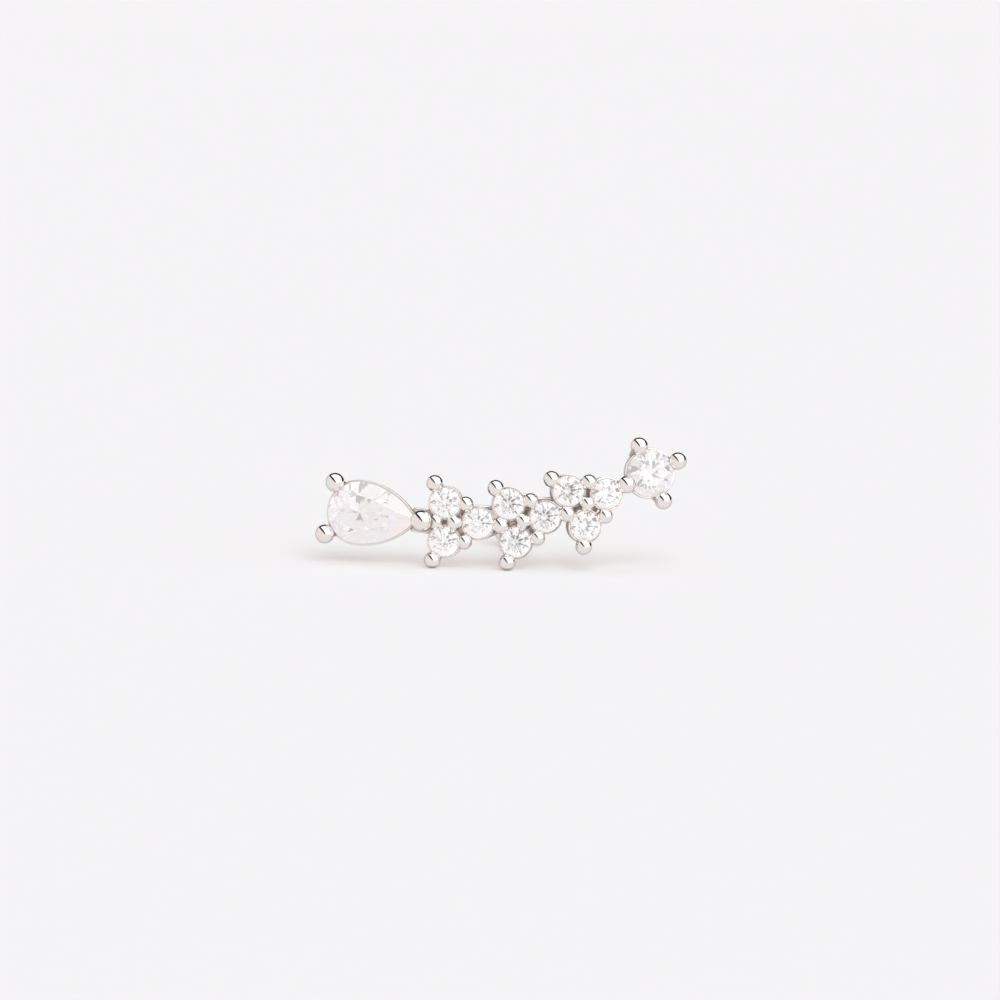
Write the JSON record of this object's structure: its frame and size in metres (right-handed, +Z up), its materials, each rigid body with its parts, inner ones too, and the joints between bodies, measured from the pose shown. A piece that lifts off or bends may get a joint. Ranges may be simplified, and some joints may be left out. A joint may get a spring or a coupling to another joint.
{
  "type": "flat back stud earring",
  "caption": "Ear climber stud in polished white metal: a pear stone, three trefoils of small stones and a larger round stone in ball prongs, on a straight post with a flat disc back.",
  "frame": {"origin": "on the surface it rests on, under the centre of the bounding box", "axes": "+X along the row of stones towards the larger round stone, -Y out of the front, +Z up; at rest on two prong balls and the rim of the disc"},
  "size_m": [0.0166, 0.0086, 0.006],
  "materials": {
    "polished_white_metal": "mirror-polished rhodium white cast metal",
    "polished_post_metal": "polished steel post and disc",
    "clear_stone": "colourless faceted cubic zirconia"
  },
  "bodies": {
    "root": {"setting": "polished_white_metal", "pear_stone": "clear_stone", "small_stone_1": "clear_stone", "small_stone_2": "clear_stone", "small_stone_3": "clear_stone", "small_stone_4": "clear_stone", "small_stone_5": "clear_stone", "small_stone_6": "clear_stone", "small_stone_7": "clear_stone", "small_stone_8": "clear_stone", "small_stone_9": "clear_stone", "end_stone": "clear_stone", "flat_back_post": "polished_post_metal"}
  },
  "joints": []
}
